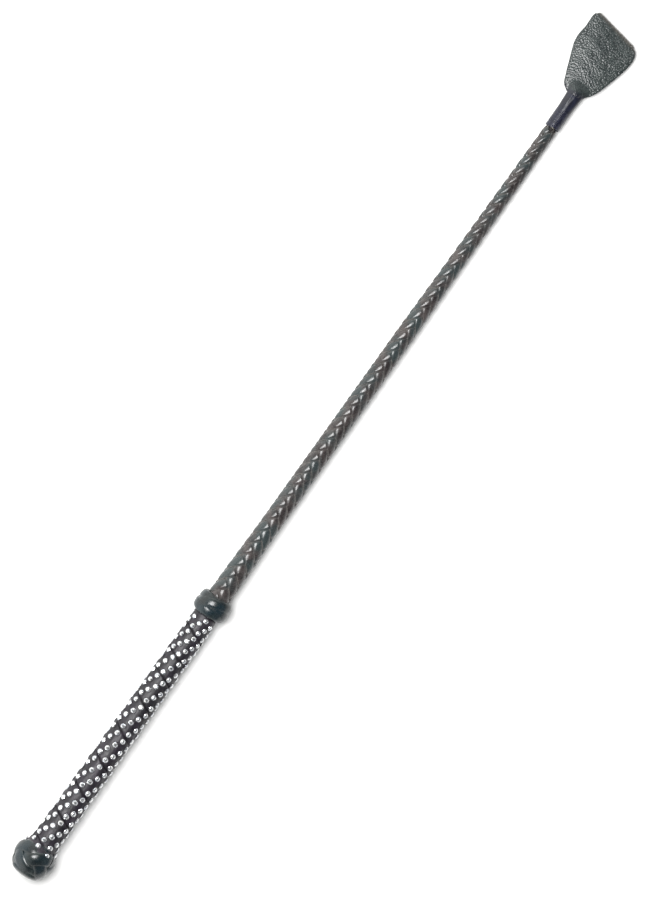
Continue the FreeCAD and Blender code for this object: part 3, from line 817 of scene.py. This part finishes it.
def keeper_material():
    """Pebbled leather: grey-green charcoal, round grains with painted shade in the grooves between them, a
    worn browner fold, and painted shade in dark navy where the leaf's root gathers into the neck.
    """
    material, tree, shader = new_material("keeper_leather")
    blotches = noise(tree, 70.0, 3.0, 0.55)
    tone = ramp(tree, blotches, [(0.36, (0.025, 0.034, 0.034)), (0.66, (0.048, 0.059, 0.057))])
    split = add(tree, "ShaderNodeSeparateXYZ")
    place = add(tree, "ShaderNodeTexCoord")
    tree.links.new(place.outputs["Object"], split.inputs[0])
    along = maths(tree, "ADD", split.outputs["X"], maths(tree, "MULTIPLY", split.outputs["Y"], -0.20))
    lighter_mask = smooth_from(tree, along, KEEPER_X[2], KEEPER_X[3])
    tone = mix_colour(tree, lighter_mask, tone, (0.095, 0.086, 0.074))
    # Painted shade: dark navy painted over the leaf's root where it gathers into the neck, with a ragged edge
    ragged = maths(tree, "ADD", split.outputs["X"], maths(tree, "MULTIPLY", noise(tree, 260.0), 0.006))
    painted_root_shade = maths(tree, "SUBTRACT", 1.0, smooth_from(tree, ragged, KEEPER_X[0], KEEPER_X[1]))
    tone = mix_colour(tree, painted_root_shade, tone, (0.007, 0.009, 0.018))
    pebble = cells(tree, 950.0)
    # Painted shade: the grooves between the pebbles are darkened in the colour itself
    groove = ramp(tree, pebble, [(0.30, (1.0, 1.0, 1.0)), (0.72, (0.45, 0.45, 0.47))])
    shaded = mix_colour(tree, 0.9, tone, groove, "MULTIPLY")
    tree.links.new(shaded, shader.inputs["Base Color"])
    rough = ramp(tree, noise(tree, 260.0, 3.0, 0.6), [(0.35, (0.22,) * 3), (0.7, (0.36,) * 3)])
    tree.links.new(rough, shader.inputs["Roughness"])
    grains = bump(tree, shader, maths(tree, "SUBTRACT", 1.0, pebble), 1.0, 0.00022)
    bump(tree, shader, noise(tree, 1500.0, 3.0, 0.6), 0.4, 0.00005, grains)
    return material


def thread_material(name, colour, sheen):
    """Waxed twisted thread: fine slanting fibres along each turn."""
    material, tree, shader = new_material(name)
    uv = add(tree, "ShaderNodeUVMap", uv_map="run")
    wave = add(tree, "ShaderNodeTexWave", wave_type="BANDS", bands_direction="DIAGONAL")
    set_inputs(wave, Scale=900.0, Distortion=1.0)
    tree.links.new(uv.outputs["UV"], wave.inputs["Vector"])
    light = tuple(min(1.0, c * 1.9 + 0.01) for c in colour)
    tone = ramp(tree, noise(tree, 500.0), [(0.35, colour), (0.7, light)])
    tree.links.new(tone, shader.inputs["Base Color"])
    shader.inputs["Roughness"].default_value = sheen
    bump(tree, shader, wave.outputs["Fac"], 0.3, 0.00006)
    return material


def plain_material(name, low, high, roughness, metallic=0.0, scale=300.0):
    """Inner pieces: two close tones in a noise, with a light bump."""
    material, tree, shader = new_material(name)
    tree.links.new(ramp(tree, noise(tree, scale), [(0.35, low), (0.7, high)]), shader.inputs["Base Color"])
    shader.inputs["Roughness"].default_value = roughness
    shader.inputs["Metallic"].default_value = metallic
    bump(tree, shader, noise(tree, scale * 3), 0.3, 0.00008)
    return material


def dress(piece, material):
    """Give a piece one material and no other."""
    piece.data.materials.clear()
    piece.data.materials.append(material)


# ---------------------------------------------------------------- camera, floor, light

def make_camera():
    data = bpy.data.cameras.new("camera")
    camera = bpy.data.objects.new("camera", data)
    bpy.context.scene.collection.objects.link(camera)
    data.sensor_fit = "VERTICAL"
    data.sensor_height = 36.0
    data.lens = 36.0 * CAMERA_DISTANCE / VIEW_HEIGHT
    data.clip_start = 0.05
    data.clip_end = 20.0
    camera.location = (VIEW_CENTRE[0] * MM, VIEW_CENTRE[1] * MM, (CAMERA_DISTANCE + 8.0) * MM)
    camera.rotation_euler = (0.0, 0.0, -math.radians(90.0 - CROP_TILT))
    bpy.context.scene.camera = camera


def make_stage():
    far = 3000
    corners = [(-far, -far, 0), (far, -far, 0), (far, far, 0), (-far, far, 0)]
    floor = new_object("floor", corners, [(0, 1, 2, 3)])
    material, tree, shader = new_material("floor")
    tone = ramp(tree, noise(tree, 4.0), [(0.3, (0.78, 0.78, 0.772)), (0.7, (0.81, 0.81, 0.802))])
    tree.links.new(tone, shader.inputs["Base Color"])
    shader.inputs["Roughness"].default_value = 0.9
    dress(floor, material)


KEY_PLACE = (-0.08, 0.30, 1.5)
KEY_SIZE = 0.75
KEY_POWER = 36.0
SKY_STRENGTH = 1.9
DIM = (0.06, 0.06, 0.06)
WHITE = (1.0, 1.0, 1.0)


def make_light():
    """Studio sky that is bright low down and on the +Y side, and one large soft lamp above."""
    scene = bpy.context.scene
    world = bpy.data.worlds.new("studio")
    scene.world = world
    world.use_nodes = True
    tree = world.node_tree
    place = add(tree, "ShaderNodeTexCoord")
    split = add(tree, "ShaderNodeSeparateXYZ")
    tree.links.new(place.outputs["Generated"], split.inputs[0])
    height = ramp(tree, split.outputs["Z"], [(0.0, WHITE), (0.50, WHITE), (0.86, DIM)])
    sideways = maths(tree, "MULTIPLY_ADD", split.outputs["Y"], 0.5, 0.5)
    side = ramp(tree, sideways, [(0.22, (0.16, 0.16, 0.17)), (0.72, (1.0, 1.0, 0.98))])
    sky = mix_colour(tree, 1.0, height, side, "MULTIPLY")
    tree.links.new(sky, tree.nodes["Background"].inputs["Color"])
    tree.nodes["Background"].inputs["Strength"].default_value = SKY_STRENGTH
    data = bpy.data.lights.new("key", "AREA")
    data.size = KEY_SIZE
    data.energy = KEY_POWER
    lamp = bpy.data.objects.new("key", data)
    scene.collection.objects.link(lamp)
    lamp.location = KEY_PLACE
    lamp.rotation_euler = (-Vector(KEY_PLACE)).to_track_quat("-Z", "Y").to_euler()
    scene.view_settings.view_transform = "Standard"


# ---------------------------------------------------------------- the crop

PLAIT_LEATHER = leather(
    "plait_leather", dark=(0.019, 0.016, 0.016), light=(0.060, 0.051, 0.049), tint=(0.027, 0.036, 0.037),
    edge=(0.16, 0.15, 0.14), roughness=0.24, grain=2600.0, depth=0.00002, crease=0.00013)
STRIP_LEATHER = leather(
    "strip_leather", dark=(0.004, 0.003, 0.006), light=(0.018, 0.013, 0.022), tint=(0.006, 0.005, 0.008),
    edge=None, roughness=0.46, grain=2200.0, depth=0.00003, crease=0.00030)
KNOT_LEATHER = leather(
    "knot_leather", dark=(0.004, 0.007, 0.008), light=(0.018, 0.026, 0.026), tint=(0.007, 0.016, 0.021),
    edge=(0.035, 0.043, 0.043), roughness=0.24, grain=2400.0, depth=0.00002, crease=0.00014)
NECK_LEATHER = leather(
    "neck_leather", dark=(0.003, 0.004, 0.010), light=(0.012, 0.015, 0.033), tint=(0.005, 0.006, 0.012),
    edge=None, roughness=0.32, grain=2300.0, depth=0.00003, crease=0.00022)


def finish_piece(piece, material, body, slot, *nodes):
    """Dress a piece, hide the parts it stands for, and hang it on its body; slot is not used. body is None
    for a piece hung on no body.
    """
    dress(piece, material)
    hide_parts(*nodes)
    if body:
        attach(piece, body)


def build_shaft():
    for index in range(4):
        for rising in (True, False):
            number = 2 * index + (1 if rising else 2)
            piece = plait_lace(number, index, rising)
            finish_piece(piece, PLAIT_LEATHER, "crop", "plait_leather", f"plait_lace_{number}")


def build_handle():
    """Strip, rims and stones. The rims draw their stones' tips before the stones do: the order matters."""
    places = stone_places()
    finish_piece(grip_strip(), STRIP_LEATHER, "crop", "strip_leather", "grip_strip")
    finish_piece(stone_rims(places), STRIP_LEATHER, "crop", "strip_leather")
    finish_piece(stones(places), crystal_material(), "crop", "crystal", "crystals")


def build_knots():
    under_collar = turned_surface(COLLAR_PROFILE, COLLAR_MIDDLE)
    collar = knot_lace("collar_lace", under_collar, COLLAR_WAVE, COLLAR_BIGHTS, COLLAR_LACE, COLLAR_TURN)
    finish_piece(collar, KNOT_LEATHER, "crop", "knot_leather", "collar_lace")
    lining = turned("collar_lining", refine(COLLAR_PROFILE))
    finish_piece(lining, KNOT_LEATHER, "crop", "knot_leather")
    under_pommel = turned_surface(POMMEL_PROFILE, POMMEL_MIDDLE)
    pommel = knot_lace("pommel_lace", under_pommel, POMMEL_WAVE, POMMEL_BIGHTS, POMMEL_LACE, POMMEL_TURN)
    finish_piece(pommel, KNOT_LEATHER, "crop", "knot_leather", "pommel_lace")
    finish_piece(pommel_cap(), KNOT_LEATHER, "crop", "knot_leather", "pommel_cap")
    finish_piece(pommel_lining(), KNOT_LEATHER, "crop", "knot_leather")


def build_keeper():
    thread = thread_material("waxed_thread", (0.006, 0.007, 0.017), 0.26)
    coil = thread_coil("keeper_binding", BINDING_START, BINDING_END, BINDING_R)
    finish_piece(coil, thread, "crop", "waxed_thread", "keeper_binding")
    neck = keeper_neck()
    finish_piece(neck, NECK_LEATHER, None, "neck_leather", "keeper_tongue")
    start, end = (on_axis(s, 0, 0) * MM for s in NECK_BEND)
    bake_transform(neck)
    finish_piece(keeper_leaves(), keeper_material(), "keeper_flap", "keeper_leather", "keeper")


def dress_inner_pieces():
    underlay = plain_material("underlay", (0.010, 0.008, 0.008), (0.030, 0.024, 0.022), 0.7)
    looks = {
        "core_rod": plain_material("glass_fibre", (0.60, 0.58, 0.48), (0.72, 0.70, 0.60), 0.35),
        "shaft_filler": underlay,
        "grip_core": underlay,
        "collar_core": underlay,
        "plait_root_whipping": plain_material("thread", (0.03, 0.03, 0.04), (0.07, 0.07, 0.08), 0.6),
        "grip_tacks": plain_material("steel", (0.5, 0.5, 0.5), (0.62, 0.62, 0.62), 0.3, 1.0),
        "pommel_core": plain_material("turned_wood", (0.36, 0.25, 0.15), (0.48, 0.34, 0.21), 0.6),
    }
    looks["plait_tip_whipping"] = looks["plait_root_whipping"]
    for node, material in looks.items():
        dress(frame["nodes"][node], material)


make_camera()
make_stage()
make_light()
build_shaft()
build_handle()
build_knots()
build_keeper()
dress_inner_pieces()
